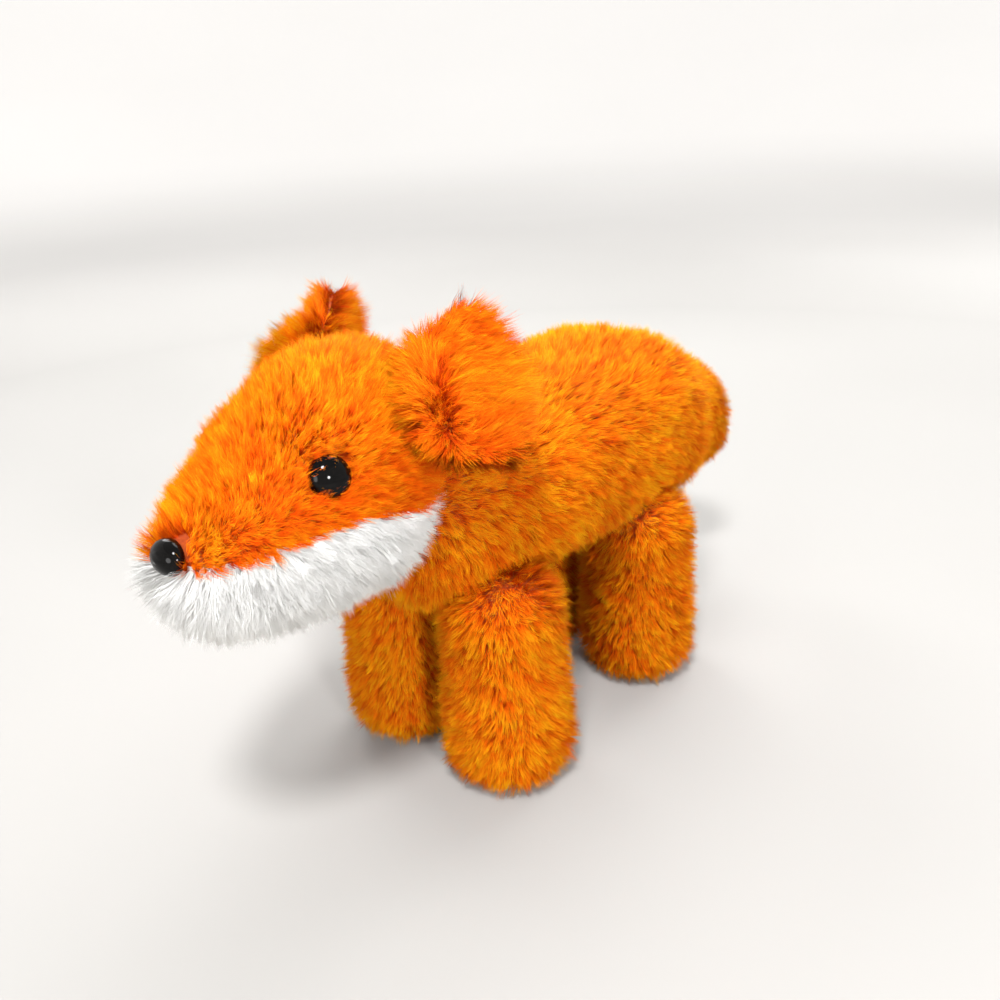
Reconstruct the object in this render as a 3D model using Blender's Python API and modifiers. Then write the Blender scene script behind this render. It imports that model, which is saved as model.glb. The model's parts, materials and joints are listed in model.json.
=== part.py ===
"""Plush fox that stands on four stub legs.

Metres, +Z up. The fox looks along -Y and its left side is +X. The origin is
on the floor under the middle of the fox.

Every sewn skin is a bag as thick as its backing cloth with the pile on it, and
every bag holds its own stuffing. The head turns and nods on the round chest,
the legs swing in round sockets, and the ears and the tail bend at their roots.
"""

import math
from collections import namedtuple

import bmesh
import bpy
from mathutils import Matrix, Quaternion, Vector
from mathutils.bvhtree import BVHTree

# Cloth, clearances and cutters
GAP = 0.0003
PILE = 0.0060
SOLE_CUT = 0.0005
OVERRUN = 0.0100
WELD = 0.00001

# Legs: the hip axis runs across the fox through the middle of the leg's round top
LEG_RADIUS = 0.0240
LEG_PARTING = 0.0016
HIP_HEIGHT = 0.0640
LEG_SPACING = 0.0845
LEG_MOUTH = 0.0120

# Torso: a round chest about the neck pivot, then a boxy barrel and a round rump
NECK_RADIUS = 0.0380
NECK_SETBACK = -0.0010
NECK_MOUTH = 0.0110
BELLY_ABOVE_HIP = 0.0020
BELLY_DEPTH = 0.0330
BACK_RISE = 0.0390
BARREL_LENGTH = 0.1325
TORSO_WIDTH = 0.0880

# Neck wad: the firm pad of filling between the chest and the head
WAD_RADIUS = 0.0150
WAD_THICK = 0.0050

# Head, measured from the neck pivot
HEAD_BACK = 0.0120
HEAD_LENGTH = 0.0960
HEAD_WIDTH = 0.0700
HEAD_HEIGHT = 0.0770
HEAD_DROP = 0.0100
SEAM_GAP = 0.0003

# Eyes, with a dome, a shank through the skin and a lock washer inside
EYE_WIDTH = 0.0120
EYE_DOME = 0.0050
EYE_RIM = 0.0010
EYE_SINK = 0.0042
EYE_FORWARD = 0.0550
EYE_ABOVE_NECK = 0.0390

# Nose, made like the eyes but oval
NOSE_WIDTH = 0.0130
NOSE_HEIGHT = 0.0100
NOSE_DOME = 0.0050
NOSE_RIM = 0.0010
NOSE_SINK = 0.0050
NOSE_ABOVE_NECK = 0.0235

# Shanks and lock washers
SHANK_WIDTH = 0.0036
SHANK_LENGTH = 0.0100
SHANK_TIP_SHARE = 0.7
WASHER_WIDTH = 0.0110
WASHER_THICK = 0.0014

# Ears, two cloth panels each, bent about a bead along their base
EAR_WIDTH = 0.0490
EAR_HEIGHT = 0.0250
EAR_ROOT_WIDTH = 0.0310
EAR_THICK = 0.0090
EAR_CUP = 0.0080
EAR_LIFT = 0.0034
EAR_BEHIND = 0.0195
EAR_RISE = math.radians(39)
EAR_SKEW = math.radians(-20)
EAR_LEAN = math.radians(58)

# Tail, a fat brush that starts straight back and curves down
TAIL_ROOT_RADIUS = 0.0130
TAIL_RADIUS = 0.0190
TAIL_LENGTH = 0.0750
TAIL_ABOVE_NECK = 0.0040
TAIL_SET_IN = -0.0010
TAIL_MOUTH = 0.0050
TAIL_START = math.radians(0)
TAIL_BEND = math.radians(100)

# Facets round each form
SKIN_FACETS = 24
CORE_FACETS = 16
TURNED_FACETS = 20
DOME_STEPS = 6

# Shares of the barrel's length, half width, back rise and belly depth, and the squareness
BARREL_SHARES = (
    (0.22, 0.95, 0.95, 1.00, 2.3),
    (0.45, 1.00, 0.99, 1.00, 2.5),
    (0.68, 1.00, 1.03, 1.00, 2.6),
    (0.84, 0.97, 0.98, 0.98, 2.6),
    (0.94, 0.82, 0.80, 0.86, 2.5),
    (0.985, 0.54, 0.50, 0.56, 2.3),
    (1.00, 0.00, 0.00, 0.00, 2.0),
)

# Shares of the leg's height under the hip axis and of its radius, from the sole up
LEG_SHARES = (
    (0.000, 0.00),
    (0.004, 0.50),
    (0.030, 0.78),
    (0.090, 0.95),
    (0.200, 1.03),
    (0.450, 1.02),
    (0.700, 0.97),
    (0.920, 0.98),
)

# Shares of the head's length from its back, half width, and of its height: underside,
# widest level and top, and the squareness
HEAD_SHARES = (
    (0.00, 0.00, 0.50, 0.50, 0.50, 2.0),
    (0.02, 0.45, 0.18, 0.50, 0.84, 2.0),
    (0.10, 0.76, 0.05, 0.46, 0.96, 2.1),
    (0.26, 0.95, 0.00, 0.43, 1.00, 2.2),
    (0.44, 1.00, 0.00, 0.41, 0.95, 2.2),
    (0.60, 0.90, 0.00, 0.39, 0.83, 2.2),
    (0.75, 0.74, 0.01, 0.37, 0.69, 2.2),
    (0.88, 0.55, 0.06, 0.36, 0.55, 2.2),
    (0.97, 0.32, 0.16, 0.34, 0.46, 2.1),
    (1.00, 0.00, 0.32, 0.32, 0.32, 2.0),
)

# Shares of the head's length from its back and of its height, along the jaw seam
SEAM_SHARES = (
    (-0.10, 0.25),
    (0.15, 0.31),
    (0.35, 0.37),
    (0.50, 0.42),
    (0.65, 0.40),
    (0.85, 0.37),
    (1.10, 0.35),
)

# Shares of the ear's height above its bead, half width and half thickness
EAR_SHARES = (
    (0.20, 0.86, 1.00),
    (0.45, 1.00, 1.00),
    (0.70, 0.97, 0.95),
    (0.88, 0.80, 0.85),
    (0.97, 0.50, 0.60),
    (1.00, 0.00, 0.00),
)

# Shares of the tail's length and of its radius
TAIL_SHARES = (
    (0.18, 0.78),
    (0.38, 0.98),
    (0.60, 1.00),
    (0.80, 0.80),
    (0.93, 0.50),
    (1.00, 0.00),
)

# Places worked out from the sizes
LEG_SIDE = LEG_RADIUS + LEG_PARTING / 2
NECK_PIVOT = Vector((0, NECK_SETBACK - LEG_SPACING / 2, HIP_HEIGHT + BELLY_ABOVE_HIP + BELLY_DEPTH))
ACROSS = Vector((1, 0, 0))
BACKWARD = Vector((0, 1, 0))
UPWARD = Vector((0, 0, 1))

Ring = namedtuple("Ring", "centre up wide over under corner")


# Scene, materials and objects


def clear_scene():
    for old in list(bpy.data.objects):
        bpy.data.objects.remove(old, do_unlink=True)


def make_collection(name):
    group = bpy.data.collections.new(name)
    bpy.context.scene.collection.children.link(group)
    return group


def make_material(name, colour, roughness, metallic=0.0):
    material = bpy.data.materials.new(name)
    material.use_nodes = True
    shader = material.node_tree.nodes["Principled BSDF"]
    shader.inputs["Base Color"].default_value = (*colour, 1)
    shader.inputs["Roughness"].default_value = roughness
    shader.inputs["Metallic"].default_value = metallic
    material.diffuse_color = (*colour, 1)
    return material


def make_empty(name, parent, location):
    empty = bpy.data.objects.new(name, None)
    bpy.context.scene.collection.objects.link(empty)
    empty.parent = parent
    empty.location = location
    return empty


def make_piece(name, form, material, group, parent, location=(0, 0, 0), turn=None):
    """one named object from a bmesh, smooth but for its sharp edges"""
    mesh = bpy.data.meshes.new(name)
    face_outward(form)
    form.to_mesh(mesh)
    form.free()
    mesh.shade_smooth()
    mesh.set_sharp_from_angle(angle=math.radians(40))
    piece = bpy.data.objects.new(name, mesh)
    group.objects.link(piece)
    piece.parent = parent
    piece.location = location
    if turn is not None:
        piece.rotation_mode = "QUATERNION"
        piece.rotation_quaternion = turn
    if material is not None:
        mesh.materials.append(material)
    return piece


def make_cutter(name, form, cutters, parent, location=(0, 0, 0), turn=None):
    cutter = make_piece(name, form, None, cutters, parent, location, turn)
    cutter.hide_render = True
    cutter.display_type = "WIRE"
    return cutter


def cut(piece, cutter, operation="DIFFERENCE"):
    boolean = piece.modifiers.new(f"{operation.title()} {cutter.name}", "BOOLEAN")
    boolean.object = cutter
    boolean.operation = operation
    boolean.solver = "EXACT"


# Forms


def face_outward(form):
    bmesh.ops.recalc_face_normals(form, faces=form.faces)
    if form.calc_volume(signed=True) < 0:
        bmesh.ops.reverse_faces(form, faces=form.faces)
    form.normal_update()
    return form


def signed_power(value, power):
    return math.copysign(abs(value) ** power, value)


def ring_points(ring, facets):
    """points round a section: an ellipse that squares up as its corner value grows"""
    power = 2 / ring.corner
    for step in range(facets):
        angle = 2 * math.pi * step / facets
        side = ring.wide * signed_power(math.cos(angle), power)
        lift = signed_power(math.sin(angle), power)
        height = lift * (ring.over if lift > 0 else ring.under)
        yield ring.centre + ACROSS * side + ring.up * height


def loft(rings, facets):
    """closed form through the rings; a ring of no width is a pole"""
    form = bmesh.new()
    loops = []
    for ring in rings:
        if ring.wide == 0:
            loops.append([form.verts.new(ring.centre)] * facets)
        else:
            loops.append([form.verts.new(point) for point in ring_points(ring, facets)])
    for near, far in zip(loops, loops[1:]):
        for step in range(facets):
            after = (step + 1) % facets
            corners = (near[step], near[after], far[after], far[step])
            form.faces.new(dict.fromkeys(corners))
    for end in (loops[0], loops[-1]):
        if end[0] is not end[1]:
            form.faces.new(end)
    return face_outward(form)


def blend_rings(rings, steps):
    """rings on a smooth curve through the given ones, with steps to a span"""
    count = len(rings)
    smooth = [rings[0]]
    for index in range(count - 1):
        before = rings[max(index - 1, 0)]
        near = rings[index]
        far = rings[index + 1]
        after = rings[min(index + 2, count - 1)]
        for step in range(1, steps):
            share = step / steps
            weights = (
                -share / 2 + share**2 - share**3 / 2,
                1 - 5 * share**2 / 2 + 3 * share**3 / 2,
                share / 2 + 2 * share**2 - 3 * share**3 / 2,
                -(share**2) / 2 + share**3 / 2,
            )
            values = []
            for four in zip(before, near, far, after):
                total = four[0] * weights[0]
                for value, weight in zip(four[1:], weights[1:]):
                    total = total + value * weight
                values.append(total)
            smooth.append(Ring(*values))
        smooth.append(far)
    return smooth


def dome_rings(radius, outward, up, steps):
    """rings of half a ball about the origin, from its pole to its equator"""
    rings = []
    for step in range(steps):
        angle = math.pi / 2 * step / steps
        size = radius * math.sin(angle)
        rings.append(Ring(outward * radius * math.cos(angle), up, size, size, size, 2.0))
    return rings


def shrink(form, depth):
    """move the form's surface inward; its triangles keep two depths of it apart everywhere"""
    bmesh.ops.triangulate(form, faces=form.faces, quad_method="FIXED", ngon_method="EAR_CLIP")
    form.normal_update()
    inward = [vert.normal * -depth for vert in form.verts]
    for vert, move in zip(form.verts, inward):
        vert.co += move
    return form


def ball(radius, facets=SKIN_FACETS):
    """ball whose flat facets all lie outside the radius"""
    form = bmesh.new()
    outer = radius / math.cos(math.pi / facets) ** 2
    bmesh.ops.create_uvsphere(form, u_segments=facets, v_segments=facets // 2, radius=outer)
    return form


def rod(radius, length, facets=SKIN_FACETS):
    """cylinder along +Z from the origin, its flats outside the radius"""
    form = bmesh.new()
    outer = radius / math.cos(math.pi / facets)
    bmesh.ops.create_cone(
        form, cap_ends=True, segments=facets, radius1=outer, radius2=outer, depth=length,
        matrix=Matrix.Translation(UPWARD * length / 2),
    )
    return form


def prism(outline, half_width):
    """flat outline in Y and Z, drawn out to both sides"""
    form = bmesh.new()
    face = form.faces.new([form.verts.new((-half_width, y, z)) for y, z in outline])
    side = bmesh.ops.extrude_face_region(form, geom=[face])
    moved = [item for item in side["geom"] if isinstance(item, bmesh.types.BMVert)]
    bmesh.ops.translate(form, verts=moved, vec=ACROSS * half_width * 2)
    return form


def turned(profile):
    """form turned about Z through pairs of radius and height"""
    rings = []
    for radius, height in profile:
        rings.append(Ring(UPWARD * height, BACKWARD, radius, radius, radius, 2.0))
    return loft(rings, TURNED_FACETS)


def face_along(direction):
    """turn that brings +Z onto a direction"""
    return direction.to_track_quat("Z", "Y")


# Torso


def torso_rings():
    dome = dome_rings(NECK_RADIUS, -BACKWARD, UPWARD, DOME_STEPS)
    barrel = [Ring(Vector((0, 0, 0)), UPWARD, NECK_RADIUS, NECK_RADIUS, NECK_RADIUS, 2.0)]
    for along, wide, over, under, corner in BARREL_SHARES:
        centre = BACKWARD * along * BARREL_LENGTH
        barrel.append(
            Ring(centre, UPWARD, wide * TORSO_WIDTH / 2, over * BACK_RISE, under * BELLY_DEPTH, corner)
        )
    return dome + blend_rings(barrel, 2)


def neck_direction():
    """from the neck pivot to the middle of the head"""
    forward = HEAD_BACK + HEAD_LENGTH / 2
    upward = HEAD_HEIGHT / 2 - HEAD_DROP
    return (UPWARD * upward - BACKWARD * forward).normalized()


def build_torso(fox, group, cutters, fur, filling):
    pivot = NECK_PIVOT
    skin = make_piece("torso_skin", loft(torso_rings(), SKIN_FACETS), fur, group, fox, pivot)
    hollow = make_cutter(
        "torso_hollow", shrink(loft(torso_rings(), CORE_FACETS), PILE), cutters, fox, pivot
    )
    cut(skin, hollow)
    neck_mouth = make_cutter(
        "neck_mouth", rod(NECK_MOUTH, NECK_RADIUS + OVERRUN), cutters, fox, pivot,
        face_along(neck_direction()),
    )
    cut(skin, neck_mouth)
    core = make_piece(
        "torso_stuffing", shrink(loft(torso_rings(), CORE_FACETS), PILE + GAP), filling, group, fox,
        pivot,
    )
    return skin, core


# Neck wad


def wad_profile():
    """cap of a shell about the neck pivot, clear of the chest and of the head's filling"""
    inner = NECK_RADIUS + GAP
    outer = inner + WAD_THICK
    spread = math.asin(WAD_RADIUS / inner)
    steps = 4
    profile = []
    for step in range(steps + 1):
        angle = spread * step / steps
        profile.append((outer * math.sin(angle), outer * math.cos(angle)))
    for step in range(steps, -1, -1):
        angle = spread * step / steps
        profile.append((inner * math.sin(angle), inner / math.cos(angle)))
    return profile


def seat_ball(extra):
    """ball about the neck pivot, clear of the chest by the extra and the gap"""
    return ball(NECK_RADIUS + extra + GAP, SKIN_FACETS + SKIN_FACETS // 3)


# Head


def head_rings():
    rings = []
    for along, wide, under, level, over, corner in HEAD_SHARES:
        centre = -BACKWARD * (HEAD_BACK + along * HEAD_LENGTH)
        centre = centre + UPWARD * (level * HEAD_HEIGHT - HEAD_DROP)
        rings.append(
            Ring(
                centre, UPWARD, wide * HEAD_WIDTH / 2, (over - level) * HEAD_HEIGHT,
                (level - under) * HEAD_HEIGHT, corner,
            )
        )
    return blend_rings(rings, 2)


def seam_outline(lift):
    """the jaw side of the seam, lifted or lowered, and closed well under the head"""
    outline = []
    for along, height in SEAM_SHARES:
        y = -(HEAD_BACK + along * HEAD_LENGTH)
        outline.append((y, height * HEAD_HEIGHT - HEAD_DROP + lift))
    floor = -HEAD_DROP - OVERRUN
    outline.append((outline[-1][0], floor))
    outline.append((outline[0][0], floor))
    return outline


def hit_form(tree, start, direction):
    """where a ray meets the form, and the normal of the facet it meets"""
    place, normal, _, _ = tree.ray_cast(start, direction)
    return place, normal


def mirrored(vector):
    return Vector((-vector.x, vector.y, vector.z))


def stud_profile(width, dome, rim):
    """dome, flat back and shank of a push-through stud, from its shank's end to its crown"""
    base = width / 2
    shank = SHANK_WIDTH / 2
    tip = shank * SHANK_TIP_SHARE
    profile = [(0, -SHANK_LENGTH), (tip, -SHANK_LENGTH), (shank, shank - SHANK_LENGTH)]
    profile += [(shank, 0), (base, 0), (base, rim)]
    steps = 5
    for step in range(1, steps):
        angle = math.pi / 2 * step / steps
        profile.append((base * math.cos(angle), rim + (dome - rim) * math.sin(angle)))
    profile.append((0, dome))
    return profile


def stud_room(width, sink):
    """room for a stud: its seat in the pile, its shank's hole and its washer's pocket"""
    seat = width / 2 + GAP
    hole = SHANK_WIDTH / 2 + GAP
    pocket = WASHER_WIDTH / 2 + GAP
    inside = sink - PILE
    deepest = -SHANK_LENGTH - GAP
    top = sink + OVERRUN
    profile = [(0, deepest), (pocket, deepest), (pocket, inside), (hole, inside)]
    return profile + [(hole, -GAP), (seat, -GAP), (seat, top), (0, top)]


def build_washer(name, group, parent, place, turn, depth, plastic):
    """ring on the shank, against the inside of the skin"""
    inner = SHANK_WIDTH / 2 + GAP
    outer = WASHER_WIDTH / 2
    form = bmesh.new()
    corners = [(outer, 0), (outer, -WASHER_THICK), (inner, -WASHER_THICK), (inner, 0)]
    points = [form.verts.new((x, 0, z)) for x, z in corners]
    for near, far in zip(points, points[1:] + points[:1]):
        form.edges.new((near, far))
    mesh = bpy.data.meshes.new(name)
    form.to_mesh(mesh)
    form.free()
    washer = bpy.data.objects.new(name, mesh)
    group.objects.link(washer)
    washer.parent = parent
    washer.rotation_mode = "QUATERNION"
    washer.rotation_quaternion = turn
    washer.location = place - turn @ UPWARD * depth
    screw = washer.modifiers.new("Turn", "SCREW")
    screw.steps = TURNED_FACETS
    screw.render_steps = TURNED_FACETS
    screw.use_merge_vertices = True
    screw.merge_threshold = WELD
    screw.use_smooth_shade = False
    mesh.materials.append(plastic)
    return washer


def build_stud(name, sizes, seat, normal, group, cutters, head, gloss, plastic):
    """a pushed-in stud with its washer, and the cutter that makes room for it"""
    width, height, dome, rim, sink = sizes
    turn = face_along(normal)
    place = seat - normal * sink
    oval = height / width
    stud = turned_stud(stud_profile(width, dome, rim), oval)
    make_piece(name, stud, gloss, group, head, place, turn)
    space = turned_stud(stud_room(width, sink), oval, GAP)
    room = make_cutter(name + "_room", space, cutters, head, place, turn)
    deepest = SHANK_LENGTH + GAP
    pocket = make_cutter(
        name + "_pocket", rod(WASHER_WIDTH / 2 + GAP, deepest + OVERRUN), cutters, head,
        place - normal * deepest, turn,
    )
    build_washer(name + "_washer", group, head, place, turn, PILE - sink + GAP, plastic)
    return room, pocket


def turned_stud(profile, oval, spare=0):
    """turned form whose wide end is oval while its shank stays round"""
    rings = []
    for radius, height in profile:
        share = oval if height >= -spare and radius > SHANK_WIDTH else 1
        rings.append(Ring(UPWARD * height, BACKWARD, radius, radius * share, radius * share, 2.0))
    return loft(rings, TURNED_FACETS)


# Ears


def ear_rings():
    """bead under the hinge, then the blade, along +Z from the hinge"""
    bead = EAR_THICK / 2
    root = EAR_ROOT_WIDTH / 2
    rings = []
    steps = 3
    for step in range(steps):
        angle = math.pi / 2 * step / steps
        wide = root - bead * (1 - math.sin(angle)) if step else 0
        deep = bead * math.sin(angle)
        rings.append(Ring(-UPWARD * bead * math.cos(angle), BACKWARD, wide, deep, deep, 2.6))
    blade = [Ring(Vector((0, 0, 0)), BACKWARD, root, bead, bead, 2.6)]
    for along, wide, deep in EAR_SHARES:
        depth = deep * EAR_THICK / 2
        blade.append(
            Ring(UPWARD * along * EAR_HEIGHT, BACKWARD, wide * EAR_WIDTH / 2, depth, depth, 2.2)
        )
    return rings + blend_rings(blade, 2)


def ear_panel(front):
    """half of the ear, cupped towards the front, with a flat seam face"""
    form = loft(ear_rings(), CORE_FACETS)
    bmesh.ops.triangulate(form, faces=form.faces, quad_method="FIXED")
    side = 1 if front else -1
    for vert in form.verts:
        vert.co.y = side * min(vert.co.y, -GAP / 2)
        rise = min(max(vert.co.z, 0) / EAR_HEIGHT * 2, 1)
        vert.co.y -= EAR_CUP * rise * (vert.co.x / EAR_WIDTH * 2) ** 2
    bmesh.ops.remove_doubles(form, verts=form.verts, dist=GAP / 10)
    return form


def ear_frame(normal):
    """axes of the left ear: along its base, backward and outward"""
    along = BACKWARD.cross(normal).normalized()
    back = normal.cross(along)
    axes = Matrix((along, back, normal)).transposed()
    return axes @ Matrix.Rotation(EAR_SKEW, 3, "Z") @ Matrix.Rotation(-EAR_LEAN, 3, "X")


def build_ears(head, tree, group, cutters, fur):
    level = HEAD_HEIGHT / 2 - HEAD_DROP
    start = UPWARD * level - BACKWARD * (HEAD_BACK + EAR_BEHIND)
    outward = ACROSS * math.cos(EAR_RISE) + UPWARD * math.sin(EAR_RISE)
    seat, normal = hit_form(tree, start, outward)
    place = seat + normal * EAR_LIFT
    axes = ear_frame(normal)
    flip = Matrix.Diagonal((-1, 1, 1))
    rooms = []
    for side, spot, frame in (
        ("left", place, axes),
        ("right", mirrored(place), flip @ axes @ flip),
    ):
        turn = frame.to_quaternion()
        for front in (True, False):
            name = f"ear_{side}_{'front' if front else 'back'}"
            make_piece(name, ear_panel(front), fur, group, head, spot, turn)
        length = EAR_ROOT_WIDTH + 2 * GAP
        along = turn @ Quaternion(BACKWARD, math.radians(90))
        end = spot - turn @ ACROSS * length / 2
        groove = rod(EAR_THICK / 2 + GAP, length)
        rooms.append(make_cutter(f"ear_{side}_groove", groove, cutters, head, end, along))
    return rooms


def build_head(head, group, cutters, materials):
    fur, white, filling, gloss, plastic = materials
    tree = BVHTree.FromBMesh(loft(head_rings(), SKIN_FACETS))
    skin = make_piece("head_skin", loft(head_rings(), SKIN_FACETS), fur, group, head)
    jaw = make_piece("jaw_panel", loft(head_rings(), SKIN_FACETS), white, group, head)
    core = make_piece(
        "head_stuffing", shrink(loft(head_rings(), CORE_FACETS), PILE + GAP), filling, group, head
    )
    hollow = make_cutter("head_hollow", shrink(loft(head_rings(), CORE_FACETS), PILE), cutters, head)
    neck_seat = make_cutter("neck_seat", seat_ball(0), cutters, head)
    wad_seat = make_cutter("wad_seat", seat_ball(WAD_THICK + GAP), cutters, head)
    half = HEAD_WIDTH / 2 + OVERRUN
    under_seam = make_cutter("under_seam", prism(seam_outline(SEAM_GAP / 2), half), cutters, head)
    jaw_side = make_cutter("jaw_side", prism(seam_outline(-SEAM_GAP / 2), half), cutters, head)
    cut(skin, hollow)
    cut(jaw, hollow)
    cut(skin, neck_seat)
    cut(jaw, neck_seat)
    cut(core, wad_seat)
    cut(skin, under_seam)
    cut(jaw, jaw_side, "INTERSECT")

    eye_sizes = (EYE_WIDTH, EYE_WIDTH, EYE_DOME, EYE_RIM, EYE_SINK)
    nose_sizes = (NOSE_WIDTH, NOSE_HEIGHT, NOSE_DOME, NOSE_RIM, NOSE_SINK)
    beside = ACROSS * HEAD_WIDTH - BACKWARD * (HEAD_BACK + EYE_FORWARD) + UPWARD * EYE_ABOVE_NECK
    eye, gaze = hit_form(tree, beside, -ACROSS)
    ahead = UPWARD * NOSE_ABOVE_NECK - BACKWARD * (HEAD_BACK + HEAD_LENGTH + OVERRUN)
    nose, snout = hit_form(tree, ahead, BACKWARD)
    for name, sizes, seat, normal in (
        ("eye_left", eye_sizes, eye, gaze),
        ("eye_right", eye_sizes, mirrored(eye), mirrored(gaze)),
        ("nose", nose_sizes, nose, snout),
    ):
        room, pocket = build_stud(name, sizes, seat, normal, group, cutters, head, gloss, plastic)
        cut(skin, room)
        if name == "nose":
            cut(jaw, room)
        cut(core, pocket)
    for groove in build_ears(head, tree, group, cutters, fur):
        cut(skin, groove)


# Legs


def leg_rings(sole):
    """from the sole up to the hip axis, then the round top"""
    height = HIP_HEIGHT + sole
    rings = []
    for along, wide in LEG_SHARES:
        size = wide * LEG_RADIUS
        rings.append(Ring(UPWARD * height * (along - 1), BACKWARD, size, size, size, 2.0))
    rings.append(Ring(Vector((0, 0, 0)), BACKWARD, LEG_RADIUS, LEG_RADIUS, LEG_RADIUS, 2.0))
    dome = dome_rings(LEG_RADIUS, UPWARD, BACKWARD, DOME_STEPS)
    return blend_rings(rings, 1) + dome[::-1]


def leg_form(facets):
    return loft(leg_rings(SOLE_CUT), facets)


def build_leg(name, place, fox, group, cutters, fur, filling):
    skin = make_piece(f"{name}_skin", leg_form(SKIN_FACETS), fur, group, fox, place)
    hollow = make_cutter(
        f"{name}_hollow", shrink(leg_form(CORE_FACETS), PILE), cutters, fox, place
    )
    mouth = make_cutter(f"{name}_mouth", rod(LEG_MOUTH, LEG_RADIUS + OVERRUN), cutters, fox, place)
    floor_form = rod(LEG_RADIUS * 2, OVERRUN)
    floor = make_cutter(
        f"{name}_floor", floor_form, cutters, fox, place - UPWARD * (HIP_HEIGHT + OVERRUN)
    )
    cut(skin, hollow)
    cut(skin, mouth)
    cut(skin, floor)
    make_piece(
        f"{name}_stuffing", shrink(leg_form(CORE_FACETS), PILE + GAP), filling, group, fox, place
    )


def socket_form():
    """ball for the leg's round top, with a straight skirt below the hip axis"""
    radius = LEG_RADIUS + GAP
    outer = radius / math.cos(math.pi / SKIN_FACETS) ** 2
    rings = [Ring(-UPWARD * OVERRUN, BACKWARD, outer, outer, outer, 2.0),
             Ring(Vector((0, 0, 0)), BACKWARD, outer, outer, outer, 2.0)]
    return loft(rings + dome_rings(outer, UPWARD, BACKWARD, DOME_STEPS)[::-1], SKIN_FACETS)


def build_legs(fox, torso, group, cutters, fur, filling):
    for end, along in (("front", -LEG_SPACING / 2), ("hind", LEG_SPACING / 2)):
        for side, across in (("left", LEG_SIDE), ("right", -LEG_SIDE)):
            name = f"leg_{end}_{side}"
            place = Vector((across, along, HIP_HEIGHT))
            build_leg(name, place, fox, group, cutters, fur, filling)
            socket = make_cutter(f"{name}_socket", socket_form(), cutters, fox, place)
            for piece in torso:
                cut(piece, socket)


# Tail


def tail_rings():
    """half ball at the root, then rings along an arc that bends down"""
    forward = BACKWARD * math.cos(TAIL_START) - UPWARD * math.sin(TAIL_START)
    up = UPWARD * math.cos(TAIL_START) + BACKWARD * math.sin(TAIL_START)
    dome = dome_rings(TAIL_ROOT_RADIUS, -forward, up, DOME_STEPS)
    size = TAIL_ROOT_RADIUS
    rings = [Ring(Vector((0, 0, 0)), up, size, size, size, 2.0)]
    bow = TAIL_LENGTH / TAIL_BEND
    for along, wide in TAIL_SHARES:
        angle = TAIL_START + TAIL_BEND * along
        centre = BACKWARD * bow * (math.sin(angle) - math.sin(TAIL_START))
        centre = centre - UPWARD * bow * (math.cos(TAIL_START) - math.cos(angle))
        up = UPWARD * math.cos(angle) + BACKWARD * math.sin(angle)
        size = wide * TAIL_RADIUS
        rings.append(Ring(centre, up, size, size, size, 2.0))
    return dome + blend_rings(rings, 2)


def build_tail(fox, torso, group, cutters, fur, filling):
    tree = BVHTree.FromBMesh(loft(torso_rings(), SKIN_FACETS))
    behind = BACKWARD * (BARREL_LENGTH + OVERRUN) + UPWARD * TAIL_ABOVE_NECK
    seat, normal = hit_form(tree, behind, -BACKWARD)
    place = NECK_PIVOT + seat - normal * TAIL_SET_IN
    skin = make_piece("tail_skin", loft(tail_rings(), SKIN_FACETS), fur, group, fox, place)
    hollow = make_cutter(
        "tail_hollow", shrink(loft(tail_rings(), CORE_FACETS), PILE), cutters, fox, place
    )
    inward = -BACKWARD * math.cos(TAIL_START) + UPWARD * math.sin(TAIL_START)
    mouth = make_cutter(
        "tail_mouth", rod(TAIL_MOUTH, TAIL_ROOT_RADIUS + OVERRUN), cutters, fox, place,
        face_along(inward),
    )
    cut(skin, hollow)
    cut(skin, mouth)
    make_piece(
        "tail_stuffing", shrink(loft(tail_rings(), CORE_FACETS), PILE + GAP), filling, group, fox, place
    )
    socket = make_cutter("tail_socket", ball(TAIL_ROOT_RADIUS + GAP), cutters, fox, place)
    for piece in torso:
        cut(piece, socket)


def centre_on_origin(fox, group):
    """move the fox along Y so that the origin lies midway between its nose and its tail"""
    bpy.context.view_layer.update()
    graph = bpy.context.evaluated_depsgraph_get()
    reach = []
    for piece in group.objects:
        solid = piece.evaluated_get(graph)
        reach += [(solid.matrix_world @ Vector(corner)).y for corner in solid.bound_box]
    fox.location.y -= (min(reach) + max(reach)) / 2


def main():
    clear_scene()
    group = make_collection("plush_fox")
    cutters = make_collection("plush_fox_cutters")
    fur = make_material("orange fur", (0.90, 0.24, 0.02), 0.9)
    white = make_material("white fur", (0.90, 0.88, 0.84), 0.9)
    filling = make_material("polyester filling", (0.85, 0.85, 0.82), 1.0)
    gloss = make_material("black gloss plastic", (0.01, 0.01, 0.01), 0.08)
    plastic = make_material("washer plastic", (0.75, 0.75, 0.72), 0.5)

    fox = make_empty("fox", None, (0, 0, 0))
    neck = make_empty("neck", fox, NECK_PIVOT)
    head = make_empty("head", neck, (0, 0, 0))

    torso = build_torso(fox, group, cutters, fur, filling)
    wad = turned(wad_profile())
    make_piece("neck_wad", wad, filling, group, neck, (0, 0, 0), face_along(neck_direction()))
    build_head(head, group, cutters, (fur, white, filling, gloss, plastic))
    build_legs(fox, torso, group, cutters, fur, filling)
    build_tail(fox, torso, group, cutters, fur, filling)
    centre_on_origin(fox, group)
    bpy.context.view_layer.update()


main()
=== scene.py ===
"""Looks of the plush fox: stuffed bags under long clumped pile, glossy eyes and nose.

Metres, +Z up. The fox looks along -Y and its left side is +X.
"""

import json
import math

import bpy
import numpy as np
from mathutils import Matrix, Vector
from mathutils.bvhtree import BVHTree
from mathutils.kdtree import KDTree


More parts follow.
